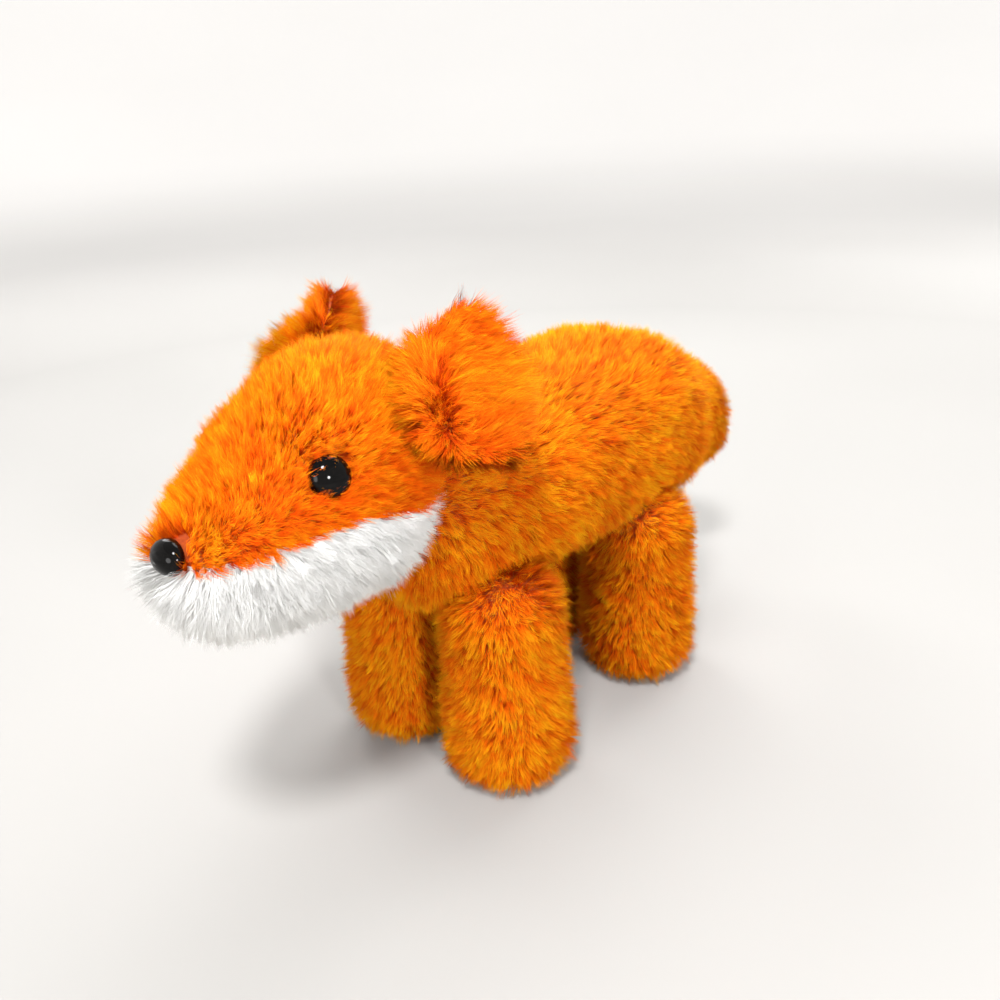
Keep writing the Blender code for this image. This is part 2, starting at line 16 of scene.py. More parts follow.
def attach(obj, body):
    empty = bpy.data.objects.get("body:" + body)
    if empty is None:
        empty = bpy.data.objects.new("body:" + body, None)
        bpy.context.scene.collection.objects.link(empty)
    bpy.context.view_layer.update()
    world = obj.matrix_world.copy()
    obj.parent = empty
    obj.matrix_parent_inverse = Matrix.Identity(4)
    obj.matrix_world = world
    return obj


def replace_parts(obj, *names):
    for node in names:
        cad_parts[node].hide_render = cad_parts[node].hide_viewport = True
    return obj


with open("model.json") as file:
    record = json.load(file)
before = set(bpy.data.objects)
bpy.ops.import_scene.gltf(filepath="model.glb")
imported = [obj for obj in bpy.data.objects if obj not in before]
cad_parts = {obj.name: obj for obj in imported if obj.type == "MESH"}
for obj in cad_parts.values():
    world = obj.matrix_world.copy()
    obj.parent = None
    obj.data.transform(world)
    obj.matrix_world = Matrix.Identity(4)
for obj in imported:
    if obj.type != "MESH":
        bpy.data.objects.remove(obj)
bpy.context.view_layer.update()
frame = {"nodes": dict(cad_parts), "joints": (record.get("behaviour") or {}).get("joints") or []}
NODES = frame["nodes"]
JOINTS = {joint["name"]: joint for joint in frame["joints"]}

# Camera, fitted to the floorboards and the feet in the photograph
CAMERA_PLACE = Vector((0.2218, -0.2646, 0.2340))
CAMERA_AIM = Vector((0.0410, -0.0566, 0.1154))
CAMERA_ROLL = math.radians(-3.31)
CAMERA_LENS = 36.0
CAMERA_SENSOR = 36.0
CAMERA_NEAR = 0.01

# Lamps: name, place, diameter and watts, all aimed at the middle of the fox
LAMPS = (
    ("key", (0.35, -0.50, 1.00), 0.20, 11.5),
    ("front", (0.95, -0.50, 0.42), 0.16, 7.5),
    ("face", (0.10, -1.20, 0.35), 0.50, 5),
    ("back", (-0.25, 0.55, 0.95), 0.60, 6),
    ("side", (-0.90, 0.35, 0.75), 0.60, 6),
    ("rear", (0.25, 1.15, 0.60), 0.60, 6),
)
LAMP_AIM = Vector((0, 0, 0.10))
SKY_STRENGTH = 0.68

# Floor: radii and heights of its rings, its colours as the camera and as bounced light see them,
# and the values of its grain that have those colours
FLOOR_RINGS = ((1.4, 0.0), (1.8, 0.06), (2.1, 0.24), (2.25, 0.6), (2.3, 2.4))
FLOOR_SEGMENTS = 64
FLOOR_SEEN = ((0.42, 0.41, 0.395), (0.46, 0.45, 0.435))
FLOOR_BOUNCED = ((0.36, 0.34, 0.31), (0.40, 0.38, 0.35))
FLOOR_LEVELS = (0.3, 0.7)
FLOOR_GRAIN = 8
FLOOR_ROUGHNESS = 0.9

# Glow of the floor, which starts at the first distance from the fox and is full at the second
GLOW_REACH = (0.7, 1.85)
GLOW_STRENGTH = 0.70
GLOW_COLOUR = (1.0, 0.98, 0.96)

# Pile colours of dull and bright tufts, as places along the strand and the colours there
ORANGE_DULL = ((0.0, (0.34, 0.014, 0.001)), (0.5, (0.80, 0.065, 0.001)), (1.0, (1.0, 0.14, 0.001)))
ORANGE_BRIGHT = ((0.0, (0.60, 0.045, 0.001)), (0.5, (1.0, 0.20, 0.001)), (1.0, (1.0, 0.64, 0.010)))
WHITE_DULL = ((0.0, (0.86, 0.85, 0.83)), (0.5, (0.94, 0.94, 0.92)), (1.0, (0.97, 0.97, 0.96)))
WHITE_BRIGHT = ((0.0, (0.90, 0.89, 0.87)), (0.5, (0.97, 0.97, 0.96)), (1.0, (1.0, 1.0, 0.99)))
PILE_ROUGHNESS = 0.7
ORANGE_SHINE = 0.04
WHITE_SHINE = 0.1

# Cloth: low and high colours, the values of its grain that have them, grain scale and detail,
# bump strength and height
ORANGE_CLOTH = ((0.34, 0.045, 0.003), (0.46, 0.070, 0.004))
WHITE_CLOTH = ((0.74, 0.73, 0.70), (0.84, 0.83, 0.81))
FIBRE = ((0.70, 0.70, 0.66), (0.85, 0.85, 0.82))
CLOTH_LEVELS = (0.35, 0.65)
CLOTH_GRAIN = (900, 4)
CLOTH_BUMP = 0.6
CLOTH_BUMP_HEIGHT = 0.0006
CLOTH_ROUGHNESS = 0.95

# Plastic: colour, roughness of clean and wiped places, shine, scale and detail of the marks, how
# much lighter a mark is, and the values of the marks between which gloss and colour change
PLASTIC_COLOUR = (0.0015, 0.0013, 0.0012)
PLASTIC_ROUGHNESS = (0.04, 0.09)
PLASTIC_SHINE = 0.14
PLASTIC_MARKS = (260, 5)
MARK_TINT = 1.6
MARK_GLOSS_LEVELS = (0.35, 0.75)
MARK_TINT_LEVELS = (0.3, 0.8)

# Places from the frame
NECK = np.array(JOINTS["head_turn"]["pos_m"])
TAIL_ROOT = np.array(JOINTS["tail_lift"]["pos_m"])
HIPS = {
    body: np.array(JOINTS[body + "_swing"]["pos_m"])
    for body in ("leg_front_left", "leg_front_right", "leg_hind_left", "leg_hind_right")
}

# Bags under the pile, and how full each is stuffed
BAG_VOXEL = 0.0020
BAG_SMOOTHING = 6
BAG_WELD = 0.00001
EAR_BAG_INSET = 0.0020

# Studs, as in the CAD: places, outward axes, and widths, heights, domes and rims. The shares are
# of the shank's radius at its end, and of half width and rim at the dome's rounded lower edge.
EYE_PLACE = (0.02463, -0.10681, 0.13671)
EYE_AXIS = (0.88717, -0.34496, 0.30649)
EYE_SIZES = (0.0120, 0.0120, 0.0050, 0.0010)
NOSE_PLACE = (0.00016, -0.14230, 0.12089)
NOSE_AXIS = (-0.0320, -0.94641, 0.32138)
NOSE_SIZES = (0.0130, 0.0100, 0.0050, 0.0010)
SHANK_RADIUS = 0.0018
SHANK_LENGTH = 0.0100
SHANK_END = 0.7
EDGE_WIDTH = 0.97
EDGE_HEIGHT = 0.3
DOME_STEPS = 20
STUD_SEGMENTS = 72

# Numbers of roots scattered over each bag, before some are left out
TORSO_ROOTS = 200000
HEAD_ROOTS = 170000
LEG_ROOTS = 58000
TAIL_ROOTS = 56000
EAR_ROOTS = 46000

# Radii round the joints where no root stands
HIP_OPENING = 0.0245
TAIL_OPENING = 0.0138
NECK_OPENING = 0.034

# Pile over the bags, and how far its surface stays from other bodies: legs and tail from the
# torso's bag, the torso from the head's bag, which it may enter a little, and the head from the
# neck wad
PILE_DEPTH = 0.0060
CLEAR_OF_TORSO = 0.0018
CLEAR_OF_HEAD = -0.003
CLEAR_OF_WAD = 0.0035

# How much nearer than the jaw the skull may be where the pile is still white
JAW_RISE = 0.0022

# Half widths and half heights that the pile leaves open over the studs, how far behind a stud's
# place that reaches, the steps at which a strand is tested, and the least share of a strand that
# is kept
EYE_OPENING = (0.0048, 0.0024)
NOSE_OPENING = (0.0044, 0.0057)
OPENING_DEPTH = 0.004
OPENING_STEPS = 17
LEAST_SHARE = 0.25

# Reach and share of the pile's turn towards nose and eyes
NOSE_TURN = (0.009, 0.1)
EYE_TURN = (0.010, 0.7)

# Reach of the longer pile round the nose, which is also painted lighter there against the shade
# among its strands, with what it adds there to length and to tone
MUZZLE_REACH = 0.014
MUZZLE_LENGTH = 0.2
MUZZLE_PAINTED_LIGHT = 0.30

# Tone taken from the whole skull, painted shade taken from its sides and underside, deeper as they
# face further down, and the upward part of a normal below which that starts
SKULL_TONE = 0.12
SKULL_PAINTED_SHADE = 0.42
SKULL_PAINTED_SHADE_FROM = 0.8

# Ways the pile lies, as parts outward, back and up, and what is taken from the torso's upward
# part on its sides
TORSO_FLOW = (0.25, 0.75, -0.25)
TORSO_DROP = 0.7
SKULL_FLOW = (0.20, 1.0, 0.15)
JAW_FLOW = (0.1, 0.45, -0.8)
NAPE_FLOW = (0, 0.3, 0)
LEG_FLOW = (0.0, 0.05, -1.0)

# Upward part of a normal above which it counts as the top of the skull, and the backward part
# from which on it counts as the nape, with the width of that change
SKULL_TOP = 0.3
NAPE_START = 0.3
NAPE_WIDTH = 0.5

# Length over which the tail's pile turns down, and how steep it lies at the root
TAIL_TURN = 0.045
TAIL_DROP = 0.3

# Ears: length from the hinge, share of it where the pile parts, width of that parting, and how
# strongly the pile fans out from the hinge
EAR_LENGTH = 0.025
EAR_PARTING = 0.16
EAR_PARTING_WIDTH = 0.15
EAR_FAN = 12

# Hollow of the ear: half width, least part of a normal that looks into it, and what it adds to
# length and, as painted light against the shade in the hollow, to tone, with what the ear's height
# adds to length
HOLLOW_WIDTH = 0.013
HOLLOW_FACING = 0.2
HOLLOW_LENGTH = 0.5
HOLLOW_PAINTED_LIGHT = 0.30
EAR_TIP_LENGTH = 0.3

# Tone taken from each ear; the right ear takes less, which is painted light, as it stands lighter
# in the light than the left
EAR_TONES_WITH_PAINTED_LIGHT = {"left": 0.40, "right": 0.15}

# Strands: width, its spread, spread of length, steps along the curve, the most twist of a ribbon,
# the lowest height and the most strands of one piece
STRAND_WIDTH = 0.00018
WIDTH_SPREAD = (0.75, 1.25)
LENGTH_SPREAD = (0.72, 1.08)
STRAND_STEPS = 12
MOST_TWIST = 0.9
FLOOR_CLEARANCE = 0.0004
MOST_STRANDS = 62000

# Single strands' spread of angle at root and tip
RISE_SPREAD = 0.10
SETTLE_SPREAD = 0.12

# Clumping: spread and upper end of the pull to a tuft's leader, and the power by which it grows
# from root to tip
PULL_SPREAD = 0.15
MOST_PULL = 0.92
PULL_POWER = 1.6

# Tone, from 0 for dull to 1 for bright: middle, spread of tufts and of strands, and its patches
# as size, seed and strength
TONE_MIDDLE = 0.5
TUFT_TONE = 0.20
STRAND_TONE = 0.14
TONE_PATCHES = ((0.030, 9, 0.12), (0.009, 10, 0.14))
TONE_LIMITS = (0.01, 0.99)

# Map of a strand: its width along U, and the margin at both of its ends along V
MAP_WIDTH = 0.004
MAP_MARGIN = 0.01

# How far the normals that light a strand lean with it
LIGHT_LEAN = 0.25

# Seeds of the slow changes of direction and of angle
DRIFT_SEED = 3
PATCH_SEED = 5

# Slow changes: number of waves, spread of their pace and what divides their sum
WAVES = 6
WAVE_PACES = (0.6, 1.5)
WAVE_SUM = 2.6

# Share of the strand's length at each of its rings, and the width there
RINGS = np.array([0.0, 0.5, 1.0])
RING_WIDTHS = np.array([1.0, 0.85, 0.0])

# Look of the pile: length, angle from the bag at root and tip and its spread between tufts,
# strands in a tuft and in a lock and their pulls, turns of strands and of tufts, spread of
# length between tufts, slow changes of direction and of angle with their sizes, spread of the
# normals that light it, and sideways bend
LOOK = {
    "length": 0.0083, "rise": math.radians(75), "settle": math.radians(50), "rise_spread": 0.20,
    "tuft": 11, "pull": 0.34, "lock": 90, "lock_pull": 0.16, "wild": 0.45, "tuft_turn": 0.40,
    "uneven": 0.11, "drift": 0.50, "drift_size": 0.040, "patch_size": 0.013, "patch_rise": 0.22,
    "tilt": 0.24, "curl": 0.0005,
}
JAW_LOOK = {**LOOK, "length": 0.0094, "pull": 0.26, "lock_pull": 0.10}
EAR_LOOK = {**LOOK, "length": 0.0092, "rise": math.radians(72)}

rng = np.random.default_rng(20)


# Materials


def new_material(name):
    material = bpy.data.materials.new(name)
    material.use_nodes = True
    tree = material.node_tree
    return material, tree, tree.nodes["Principled BSDF"]


def ramp(tree, stops):
    """colour ramp node with stops of place and linear colour"""
    node = tree.nodes.new("ShaderNodeValToRGB")
    elements = node.color_ramp.elements
    while len(elements) < len(stops):
        elements.new(0.5)
    for element, (place, colour) in zip(elements, stops):
        element.position = place
        element.color = (*colour, 1)
    return node


def operation(tree, kind, name):
    """math node of the given kind that does the named operation"""
    node = tree.nodes.new(kind)
    node.operation = name
    return node


def colour_mix(tree, factor, low, high):
    """colour from low to high by the factor"""
    node = tree.nodes.new("ShaderNodeMix")
    node.data_type = "RGBA"
    tree.links.new(factor, node.inputs["Factor"])
    tree.links.new(low, node.inputs["A"])
    tree.links.new(high, node.inputs["B"])
    return node.outputs["Result"]


def map_range(tree, value, low, high, result_low, result_high):
    """value moved from one range to another"""
    node = tree.nodes.new("ShaderNodeMapRange")
    node.inputs["From Min"].default_value = low
    node.inputs["From Max"].default_value = high
    node.inputs["To Min"].default_value = result_low
    node.inputs["To Max"].default_value = result_high
    tree.links.new(value, node.inputs["Value"])
    return node.outputs["Result"]


def object_noise(tree, scale, detail):
    """noise that stays with the object as it moves"""
    place = tree.nodes.new("ShaderNodeTexCoord")
    noise = tree.nodes.new("ShaderNodeTexNoise")
    noise.inputs["Scale"].default_value = scale
    noise.inputs["Detail"].default_value = detail
    tree.links.new(place.outputs["Object"], noise.inputs["Vector"])
    return noise.outputs["Fac"]


def fur_material(name, dull, bright, shine):
    """pile whose colour runs from root to tip along V and from dull to bright tufts along U"""
    material, tree, shader = new_material(name)
    links = tree.links
    strand = tree.nodes.new("ShaderNodeUVMap")
    strand.uv_map = "OFBake"
    split = tree.nodes.new("ShaderNodeSeparateXYZ")
    links.new(strand.outputs["UV"], split.inputs[0])
    dull_ramp = ramp(tree, dull)
    bright_ramp = ramp(tree, bright)
    links.new(split.outputs["Y"], dull_ramp.inputs[0])
    links.new(split.outputs["Y"], bright_ramp.inputs[0])
    colour = colour_mix(tree, split.outputs["X"], dull_ramp.outputs[0], bright_ramp.outputs[0])
    links.new(colour, shader.inputs["Base Color"])
    shader.inputs["Roughness"].default_value = PILE_ROUGHNESS
    shader.inputs["Specular IOR Level"].default_value = shine
    # a strand seen from behind keeps the coat's own normal, so both of its faces shade alike:
    # the sign is 1 on a front face and -1 on a back face
    shape = tree.nodes.new("ShaderNodeNewGeometry")
    sign = operation(tree, "ShaderNodeMath", "MULTIPLY_ADD")
    links.new(shape.outputs["Backfacing"], sign.inputs[0])
    sign.inputs[1].default_value = -2
    sign.inputs[2].default_value = 1
    turned = operation(tree, "ShaderNodeVectorMath", "SCALE")
    links.new(shape.outputs["Normal"], turned.inputs[0])
    links.new(sign.outputs[0], turned.inputs["Scale"])
    links.new(turned.outputs[0], shader.inputs["Normal"])
    return material


def cloth_material(name, colours):
    """knitted backing under the pile"""
    material, tree, shader = new_material(name)
    links = tree.links
    grain = object_noise(tree, *CLOTH_GRAIN)
    tint = ramp(tree, list(zip(CLOTH_LEVELS, colours)))
    links.new(grain, tint.inputs[0])
    links.new(tint.outputs[0], shader.inputs["Base Color"])
    bump = tree.nodes.new("ShaderNodeBump")
    bump.inputs["Strength"].default_value = CLOTH_BUMP
    bump.inputs["Distance"].default_value = CLOTH_BUMP_HEIGHT
    links.new(grain, bump.inputs["Height"])
    links.new(bump.outputs["Normal"], shader.inputs["Normal"])
    shader.inputs["Roughness"].default_value = CLOTH_ROUGHNESS
    return material


def plastic_material(name):
    """moulded plastic with faint wiping marks in its gloss"""
    material, tree, shader = new_material(name)
    links = tree.links
    marks = object_noise(tree, *PLASTIC_MARKS)
    roughness = map_range(tree, marks, *MARK_GLOSS_LEVELS, *PLASTIC_ROUGHNESS)
    links.new(roughness, shader.inputs["Roughness"])
    marked = tuple(part * MARK_TINT for part in PLASTIC_COLOUR)
    tint = ramp(tree, list(zip(MARK_TINT_LEVELS, (PLASTIC_COLOUR, marked))))
    links.new(marks, tint.inputs[0])
    links.new(tint.outputs[0], shader.inputs["Base Color"])
    shader.inputs["Specular IOR Level"].default_value = PLASTIC_SHINE
    return material


# Bags


def new_object(name, mesh, material):
    thing = bpy.data.objects.new(name, mesh)
    bpy.context.scene.collection.objects.link(thing)
    mesh.materials.clear()
    mesh.materials.append(material)
    return thing


def bag(name, body, sources, material, inset=0.0):
    """closed smooth form over CAD solids, moved inward by the inset"""
    merged = bpy.data.meshes.new(name)
    points = []
    faces = []
    for source in sources:
        mesh = NODES[source].data
        start = len(points)
        points += [vert.co.copy() for vert in mesh.vertices]
        faces += [[start + index for index in face.vertices] for face in mesh.polygons]
    merged.from_pydata(points, [], faces)
    draft = new_object(name, merged, material)
    weld = draft.modifiers.new("Weld", "WELD")
    weld.merge_threshold = BAG_WELD
    remesh = draft.modifiers.new("Remesh", "REMESH")
    remesh.mode = "VOXEL"
    remesh.voxel_size = BAG_VOXEL if not inset else BAG_VOXEL / 2
    smooth = draft.modifiers.new("Smooth", "SMOOTH")
    smooth.iterations = BAG_SMOOTHING
    if inset:
        shrink = draft.modifiers.new("Shrink", "DISPLACE")
        shrink.strength = -inset
        shrink.mid_level = 0
    graph = bpy.context.evaluated_depsgraph_get()
    final = bpy.data.meshes.new_from_object(draft.evaluated_get(graph))
    draft.modifiers.clear()
    draft.data = final
    final.name = name
    final.materials.clear()
    final.materials.append(material)
    final.shade_smooth()
    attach(draft, body)
    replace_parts(draft, *sources)
    return draft


def tree_of(thing):
    """search tree over a mesh object's faces"""
    mesh = thing.data
    return BVHTree.FromPolygons(
        [vert.co for vert in mesh.vertices], [tuple(face.vertices) for face in mesh.polygons]
    )


def depths(tree, points):
    """signed distance of each point from a closed form, positive outside"""
    signed = np.empty(len(points))
    for index, point in enumerate(points):
        spot, normal, _, distance = tree.find_nearest(Vector(point))
        outside = (Vector(point) - spot).dot(normal) > 0
        signed[index] = distance if outside else -distance
    return signed


def distances(tree, points):
    """plain distance of each point from the nearest face"""
    return np.array([tree.find_nearest(Vector(point))[3] for point in points])


# Pile


def unit(vectors):
    size = np.linalg.norm(vectors, axis=1, keepdims=True)
    return vectors / np.maximum(size, 1e-9)


def scatter(thing, count):
    """points spread evenly over a mesh by area, and the smooth normals there"""
    mesh = thing.data
    mesh.calc_loop_triangles()
    corners = np.empty(len(mesh.loop_triangles) * 3, int)
    mesh.loop_triangles.foreach_get("vertices", corners)
    corners = corners.reshape(-1, 3)
    places = np.empty(len(mesh.vertices) * 3)
    mesh.vertices.foreach_get("co", places)
    places = places.reshape(-1, 3)
    normals = np.empty(len(mesh.vertices) * 3)
    mesh.vertices.foreach_get("normal", normals)
    normals = normals.reshape(-1, 3)
    a, b, c = places[corners[:, 0]], places[corners[:, 1]], places[corners[:, 2]]
    areas = np.linalg.norm(np.cross(b - a, c - a), axis=1)
    picks = rng.choice(len(corners), count, p=areas / areas.sum())
    first = np.sqrt(rng.random(count))[:, None]
    second = rng.random(count)[:, None]
    weights = np.concatenate([1 - first, first * (1 - second), first * second], axis=1)
    chosen = corners[picks]
    points = (places[chosen] * weights[:, :, None]).sum(axis=1)
    directions = unit((normals[chosen] * weights[:, :, None]).sum(axis=1))
    return points, directions


def waves(points, size, seed):
    """smooth random value from -1 to 1 that changes over the given size"""
    local = np.random.default_rng(seed)
    total = np.zeros(len(points))
    for _ in range(WAVES):
        direction = local.normal(size=3)
        direction /= np.linalg.norm(direction)
        pace = 2 * math.pi / size * local.uniform(*WAVE_PACES)
        total += np.sin(points @ direction * pace + local.uniform(0, 2 * math.pi))
    return np.clip(total / WAVE_SUM, -1, 1)


def clump(roots, size):
    """strands that lead, one for so many, and the number of the leader nearest to each root"""
    count = len(roots)
    leaders = rng.choice(count, max(int(count / size), 1), replace=False)
    tree = KDTree(len(leaders))
    for index, place in enumerate(roots[leaders]):
        tree.insert(place, index)
    tree.balance()
    return leaders, np.array([tree.find(root)[1] for root in roots])


def mirrored(flow, roots):
    """one flow for all roots, with its first part outward on both sides of the fox"""
    flows = np.tile(flow, (len(roots), 1))
    flows[:, 0] *= np.sign(roots[:, 0])
    return flows


def strands(roots, normals, flow, length, rise, settle):
    """points at the rings of each strand, which rises from its root and settles to the flow"""
    side = np.cross(normals, flow)
    place = roots.copy()
    path = [place.copy()]
    wanted = list(RINGS[1:])
    for step in range(STRAND_STEPS):
        share = (step + 0.5) / STRAND_STEPS
        angle = rise + (settle - rise) * share
        direction = normals * np.sin(angle)[:, None] + flow * np.cos(angle)[:, None]
        place = place + direction * (length / STRAND_STEPS)[:, None]
        if wanted and (step + 1) / STRAND_STEPS >= wanted[0] - 0.5 / STRAND_STEPS:
            path.append(place.copy())
            wanted.pop(0)
    return np.stack(path, axis=1), side


def ribbon_mesh(name, path, side, normals, facing, width, tone, material):
    """one tapered ribbon a strand, lit as the coat's surface, with tone along U, length along V"""
    count = len(path)
    rings = len(RINGS)
    twist = rng.uniform(-MOST_TWIST, MOST_TWIST, count)
    across = side * np.cos(twist)[:, None] + normals * np.sin(twist)[:, None]
    verts = np.empty((count, 2 * rings - 1, 3))
    for ring in range(rings - 1):
        half = across * (width * RING_WIDTHS[ring] / 2)[:, None]
        verts[:, 2 * ring] = path[:, ring] - half
        verts[:, 2 * ring + 1] = path[:, ring] + half
    verts[:, -1] = path[:, -1]
    corners = []
    sizes = []
    heights = []
    sides = []
    for ring in range(rings - 2):
        near, far = 2 * ring, 2 * ring + 2
        corners += [near + 1, near, far, far + 1]
        heights += [RINGS[ring], RINGS[ring], RINGS[ring + 1], RINGS[ring + 1]]
        sides += [1, 0, 0, 1]
        sizes.append(4)
    near = 2 * (rings - 2)
    corners += [near + 1, near, near + 2]
    heights += [RINGS[-2], RINGS[-2], RINGS[-1]]
    sides += [1, 0, 0.5]
    sizes.append(3)
    stride = verts.shape[1]
    loops = (np.arange(count)[:, None] * stride + np.array(corners)).ravel()
    totals = np.tile(sizes, count)
    starts = np.concatenate([[0], np.cumsum(totals)[:-1]])
    mesh = bpy.data.meshes.new(name)
    mesh.vertices.add(count * stride)
    mesh.vertices.foreach_set("co", verts.ravel())
    mesh.loops.add(len(loops))
    mesh.loops.foreach_set("vertex_index", loops.astype(np.int32))
    mesh.polygons.add(len(totals))
    mesh.polygons.foreach_set("loop_start", starts.astype(np.int32))
    layer = mesh.uv_layers.new(name="OFBake")
    middle = tone[:, None] * (1 - 2 * MAP_WIDTH)
    map_u = middle + np.array(sides) * MAP_WIDTH + MAP_WIDTH / 2
    map_v = np.broadcast_to(np.array(heights) * (1 - 2 * MAP_MARGIN) + MAP_MARGIN, map_u.shape)
    layer.data.foreach_set("uv", np.stack([map_u, map_v], axis=2).ravel())
    mesh.update()
    mesh.validate()
    mesh.shade_smooth()
    mesh.normals_split_custom_set_from_vertices(np.repeat(facing, stride, axis=0))
    return new_object(name, mesh, material)


def keep_off(path, roots, centre, axis, wide, high):
    """shorten the strands that would cross an oval thing, so that they stop at its edge"""
    upward = np.array((0, 0, 1)) - axis * axis[2]
    upward /= np.linalg.norm(upward)
    steps = np.linspace(0, 1, OPENING_STEPS)
    along = steps[None, :, None]
    middle = path[:, 1:2]
    lower = path[:, :1] + (middle - path[:, :1]) * (along / RINGS[1])
    upper = middle + (path[:, 2:] - middle) * ((along - RINGS[1]) / (1 - RINGS[1]))
    offset = np.where(along < RINGS[1], lower, upper) - centre
    radial = np.hypot(offset @ np.cross(upward, axis) / wide, offset @ upward / high)
    inside = (radial < 1) & (offset @ axis > -OPENING_DEPTH)
    first = np.where(inside.any(axis=1), inside.argmax(axis=1), len(steps))
    before = np.clip(first - 1, 0, len(steps) - 1)
    share = np.where(first < len(steps), steps[before], 1)
    shorter = roots[:, None] + (path - roots[:, None]) * share[:, None, None]
    return shorter, share > LEAST_SHARE


def grow(name, body, roots, normals, flow, look, material, longer=1, tone_shift=0, avoid=()):
    """a coat of clumped strands on given roots, kept off the openings to avoid"""
    count = len(roots)
    flow = unit(flow - normals * (flow * normals).sum(axis=1)[:, None])
    drift = waves(roots, look["drift_size"], DRIFT_SEED)[:, None] * look["drift"]
    flow = unit(flow + np.cross(normals, flow) * drift)
    centres, tuft = clump(roots, look["tuft"])
    heads, lock = clump(roots, look["lock"])
    wild = rng.normal(size=count) * look["wild"]
    tuft_turn = rng.normal(size=len(centres)) * look["tuft_turn"]
    turn = (wild + tuft_turn[tuft])[:, None]
    flow = unit(flow + np.cross(normals, flow) * turn)
    tuft_length = 1 + rng.normal(size=len(centres)) * look["uneven"]
    length = look["length"] * tuft_length[tuft] * rng.uniform(*LENGTH_SPREAD, count) * longer
    tuft_rise = rng.normal(size=len(centres)) * look["rise_spread"]
    patch = waves(roots, look["patch_size"], PATCH_SEED) * look["patch_rise"]
    rise = look["rise"] + tuft_rise[tuft] + patch + rng.normal(size=count) * RISE_SPREAD
    settle = look["settle"] + tuft_rise[tuft] + patch + rng.normal(size=count) * SETTLE_SPREAD
    path, side = strands(roots, normals, flow, length, rise, settle)
    tuft_bend = rng.normal(size=len(centres))[tuft] * look["curl"]
    bend = tuft_bend + rng.normal(size=count) * look["curl"] / 2
    path[:, 1] += side * bend[:, None]
    pull = rng.normal(look["pull"], PULL_SPREAD, len(centres))
    pull = np.clip(pull, 0, MOST_PULL)[tuft]
    lead = path[centres][tuft]
    weight = pull[:, None] * RINGS[None, :] ** PULL_POWER
    path = path + (lead - path) * weight[..., None]
    weight = look["lock_pull"] * RINGS ** PULL_POWER
    path = path + (path[heads][lock] - path) * weight[None, :, None]
    path[..., 2] = np.maximum(path[..., 2], FLOOR_CLEARANCE)
    alive = np.ones(count, bool)
    for opening in avoid:
        path, kept = keep_off(path, roots, *opening)
        alive &= kept
    tone = rng.normal(TONE_MIDDLE, TUFT_TONE, len(centres))[tuft]
    for size, seed, strength in TONE_PATCHES:
        tone = tone + waves(roots, size, seed) * strength
    tone = tone + rng.normal(size=count) * STRAND_TONE + tone_shift
    tone = np.clip(tone, *TONE_LIMITS)
    width = STRAND_WIDTH * rng.uniform(*WIDTH_SPREAD, count)
    lean = unit(path[:, -1] - path[:, 0])
    tilt = rng.normal(size=(len(centres), 3))[tuft] * look["tilt"]
    facing = unit(normals + lean * LIGHT_LEAN + tilt)
    order = np.flatnonzero(alive)
    order = order[np.argsort(roots[order, 1], kind="stable")]
    parts = np.array_split(order, math.ceil(len(order) / MOST_STRANDS))
    for number, part in enumerate(parts):
        label = f"{name}_{number + 1}" if len(parts) > 1 else name
        coat = ribbon_mesh(
            label, path[part], side[part], normals[part], facing[part], width[part], tone[part],
            material,
        )
        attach(coat, body)


# Studs


def stud(name, place, axis, sizes, material):
    """push-through stud with a fine dome, in place of the CAD's coarser one"""
    width, height, dome, rim = sizes
    base = width / 2
    profile = [(0, -SHANK_LENGTH), (SHANK_RADIUS * SHANK_END, -SHANK_LENGTH)]
    profile += [(SHANK_RADIUS, SHANK_RADIUS - SHANK_LENGTH), (SHANK_RADIUS, 0)]
    profile += [(base * EDGE_WIDTH, 0), (base, rim * EDGE_HEIGHT)]
    for step in range(DOME_STEPS):
        angle = math.pi / 2 * step / DOME_STEPS
        profile.append((base * math.cos(angle), rim + (dome - rim) * math.sin(angle)))
    profile.append((0, dome))
    points = []
    for radius, level in profile[1:-1]:
        oval = height / width if radius > SHANK_RADIUS else 1
        for step in range(STUD_SEGMENTS):
            angle = 2 * math.pi * step / STUD_SEGMENTS
            points.append((radius * math.cos(angle), radius * oval * math.sin(angle), level))
    low, high = len(points), len(points) + 1
    points += [(0, 0, -SHANK_LENGTH), (0, 0, dome)]
    rings = len(profile) - 2
    faces = []
    for step in range(STUD_SEGMENTS):
        after = (step + 1) % STUD_SEGMENTS
        faces.append((low, after, step))
        last = (rings - 1) * STUD_SEGMENTS
        faces.append((high, last + step, last + after))
        for ring in range(rings - 1):
            near, far = ring * STUD_SEGMENTS, (ring + 1) * STUD_SEGMENTS
            faces.append((near + step, near + after, far + after, far + step))
    mesh = bpy.data.meshes.new(name)
    mesh.from_pydata(points, [], faces)
    turn = Vector(axis).to_track_quat("Z", "Y").to_matrix().to_4x4()
    mesh.transform(Matrix.Translation(place) @ turn)
    mesh.shade_smooth()
    thing = new_object(name, mesh, material)
    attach(thing, "head")
    return thing


# Camera, lights and stage


def build_camera():
    data = bpy.data.cameras.new("camera")
    data.lens = CAMERA_LENS
    data.sensor_width = CAMERA_SENSOR
    data.dof.use_dof = False
    data.clip_start = CAMERA_NEAR
    camera = bpy.data.objects.new("camera", data)
    bpy.context.scene.collection.objects.link(camera)
    turn = (CAMERA_AIM - CAMERA_PLACE).to_track_quat("-Z", "Y").to_matrix()
    camera.matrix_world = (
        Matrix.Translation(CAMERA_PLACE) @ (turn @ Matrix.Rotation(CAMERA_ROLL, 3, "Z")).to_4x4()
    )
    bpy.context.scene.camera = camera


